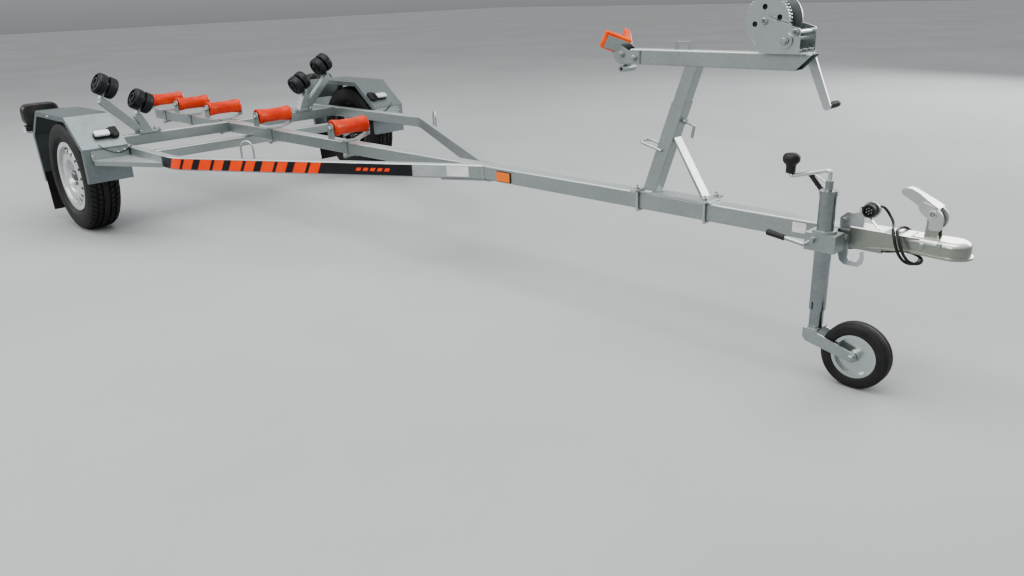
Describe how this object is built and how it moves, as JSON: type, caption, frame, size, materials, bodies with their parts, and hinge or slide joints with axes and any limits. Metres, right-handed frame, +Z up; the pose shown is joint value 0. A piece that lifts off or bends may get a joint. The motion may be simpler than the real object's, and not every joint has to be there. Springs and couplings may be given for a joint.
{
  "type": "boat trailer",
  "caption": "Single-axle boat trailer with keel and bilge rollers, leaning winch post with geared hand winch and bow stop, jockey wheel and ball coupling, parked on its jockey wheel.",
  "frame": {"origin": "middle of the trailer's footprint, on the ground that the tyres and the jockey wheel stand on", "axes": "+X forwards, towards the ball coupling; +Y to the trailer's left; +Z up"},
  "size_m": [5.15, 1.98, 1.1063],
  "materials": {
    "galvanised": "dull galvanised",
    "fender_steel": "dark galvanised sheet",
    "zinc_coupling": "yellow passivated zinc",
    "rim_silver": "silver paint",
    "hub_steel": "dull silver",
    "jockey_rim_plastic": "dull silver",
    "roller_rubber": "matte orange-red",
    "bilge_rubber": "matte black",
    "bow_rubber": "matte orange",
    "tyre": "matte black",
    "jockey_tyre": "matte black",
    "flap_rubber": "matte black",
    "lamp_housing": "black, with red lens at the rear",
    "marker_lens": "white lens on a black base",
    "side_reflector": "amber",
    "black_plastic": "matte black",
    "cable_sheath": "black sheath",
    "webbing": "dark webbing"
  },
  "bodies": {
    "frame": {"keel_beam": "galvanised", "side_rail_right": "galvanised", "side_rail_left": "galvanised", "crossbeam": "galvanised", "junction_plate": "galvanised", "axle_beam": "galvanised", "suspension_arms": "galvanised", "fender_right": "fender_steel", "fender_left": "fender_steel", "fender_brackets": "galvanised", "mud_flaps": "flap_rubber", "lamp_brackets": "galvanised", "tail_lamps": "lamp_housing", "marker_lamps": "marker_lens", "keel_brackets": "galvanised", "bilge_supports": "galvanised", "post_base": "galvanised", "post_sleeve": "galvanised", "jockey_clamp": "galvanised", "coupling_body": "zinc_coupling", "plug_holder": "galvanised", "hook_strap": "galvanised", "side_reflectors": "side_reflector", "plug": "black_plastic", "cable_gland": "black_plastic", "cable": "cable_sheath"},
    "wheel_right": {"tyre_right": "tyre", "rim_right": "rim_silver", "hub_right": "hub_steel"},
    "wheel_left": {"tyre_left": "tyre", "rim_left": "rim_silver", "hub_left": "hub_steel"},
    "winch_post": {"winch_post": "galvanised", "bow_stop_bracket": "galvanised", "bow_stop": "bow_rubber", "winch_frame": "galvanised"},
    "winch_drum": {"winch_drum": "galvanised", "strap_coil": "webbing"},
    "winch_crank": {"winch_crank": "galvanised", "crank_grip": "black_plastic"},
    "jockey_tube": {"jockey_tube": "galvanised", "jockey_crank": "galvanised", "jockey_knob": "black_plastic"},
    "jockey_leg": {"jockey_leg": "galvanised"},
    "jockey_fork": {"jockey_fork": "galvanised"},
    "jockey_wheel": {"jockey_rim": "jockey_rim_plastic", "jockey_tyre": "jockey_tyre"},
    "coupling_handle": {"coupling_handle": "zinc_coupling"},
    "keel_roller_1": {"keel_roller_1": "roller_rubber"},
    "keel_roller_2": {"keel_roller_2": "roller_rubber"},
    "keel_roller_3": {"keel_roller_3": "roller_rubber"},
    "keel_roller_4": {"keel_roller_4": "roller_rubber"},
    "keel_roller_5": {"keel_roller_5": "roller_rubber"},
    "bilge_roller_right_outer": {"bilge_roller_right_outer": "bilge_rubber"},
    "bilge_roller_right_inner": {"bilge_roller_right_inner": "bilge_rubber"},
    "bilge_roller_left_outer": {"bilge_roller_left_outer": "bilge_rubber"},
    "bilge_roller_left_inner": {"bilge_roller_left_inner": "bilge_rubber"}
  },
  "joints": [
    {"name": "wheel_right_spin", "type": "hinge", "parent": "frame", "child": "wheel_right", "pos_m": [-1.515, -0.89, 0.288], "axis": [0, 1, 0], "continuous": true},
    {"name": "wheel_left_spin", "type": "hinge", "parent": "frame", "child": "wheel_left", "pos_m": [-1.515, 0.89, 0.288], "axis": [0, 1, 0], "continuous": true},
    {"name": "keel_roller_1_spin", "type": "hinge", "parent": "frame", "child": "keel_roller_1", "pos_m": [-0.31, 0, 0.53], "axis": [0, 1, 0], "continuous": true},
    {"name": "keel_roller_2_spin", "type": "hinge", "parent": "frame", "child": "keel_roller_2", "pos_m": [-1.041, 0, 0.53], "axis": [0, 1, 0], "continuous": true},
    {"name": "keel_roller_3_spin", "type": "hinge", "parent": "frame", "child": "keel_roller_3", "pos_m": [-1.625, 0, 0.53], "axis": [0, 1, 0], "continuous": true},
    {"name": "keel_roller_4_spin", "type": "hinge", "parent": "frame", "child": "keel_roller_4", "pos_m": [-2.043, 0, 0.53], "axis": [0, 1, 0], "continuous": true},
    {"name": "keel_roller_5_spin", "type": "hinge", "parent": "frame", "child": "keel_roller_5", "pos_m": [-2.423, 0, 0.53], "axis": [0, 1, 0], "continuous": true},
    {"name": "bilge_roller_right_outer_spin", "type": "hinge", "parent": "frame", "child": "bilge_roller_right_outer", "pos_m": [-1.565, -0.68, 0.727], "axis": [0, 0.8746, -0.4848], "continuous": true},
    {"name": "bilge_roller_right_inner_spin", "type": "hinge", "parent": "frame", "child": "bilge_roller_right_inner", "pos_m": [-1.565, -0.504, 0.628], "axis": [0, 0.8746, -0.4848], "continuous": true},
    {"name": "bilge_roller_left_outer_spin", "type": "hinge", "parent": "frame", "child": "bilge_roller_left_outer", "pos_m": [-1.565, 0.68, 0.727], "axis": [0, 0.8746, 0.4848], "continuous": true},
    {"name": "bilge_roller_left_inner_spin", "type": "hinge", "parent": "frame", "child": "bilge_roller_left_inner", "pos_m": [-1.565, 0.504, 0.628], "axis": [0, 0.8746, 0.4848], "continuous": true},
    {"name": "winch_post_slide", "type": "slide", "parent": "frame", "child": "winch_post", "axis": [0.3305, 0, 0.9438], "range_m": [-0.1, 0.1]},
    {"name": "winch_drum_spin", "type": "hinge", "parent": "winch_post", "child": "winch_drum", "pos_m": [1.946, 0, 1.031], "axis": [0, 1, 0], "continuous": true},
    {"name": "winch_crank_spin", "type": "hinge", "parent": "winch_post", "child": "winch_crank", "pos_m": [2.015, 0, 0.977], "axis": [0, 1, 0], "continuous": true},
    {"name": "jockey_tube_slide", "type": "slide", "parent": "frame", "child": "jockey_tube", "axis": [0, 0, 1], "range_m": [-0.1, 0.085]},
    {"name": "jockey_leg_slide", "type": "slide", "parent": "jockey_tube", "child": "jockey_leg", "axis": [0, 0, 1], "range_m": [-0.155, 0.045]},
    {"name": "jockey_swivel", "type": "hinge", "parent": "jockey_leg", "child": "jockey_fork", "pos_m": [2.205, -0.096, 0.158], "axis": [0, 0, 1], "continuous": true},
    {"name": "jockey_wheel_spin", "type": "hinge", "parent": "jockey_fork", "child": "jockey_wheel", "pos_m": [2.335, -0.096, 0.1], "axis": [0, 1, 0], "continuous": true},
    {"name": "coupling_handle_lift", "type": "hinge", "parent": "frame", "child": "coupling_handle", "pos_m": [2.467, 0, 0.53], "axis": [0, 1, 0], "range_deg": [0, 60]}
  ],
  "couplings": [
    {"joint": "winch_crank_spin", "follows": "winch_drum_spin", "ratio": -4.8}
  ]
}
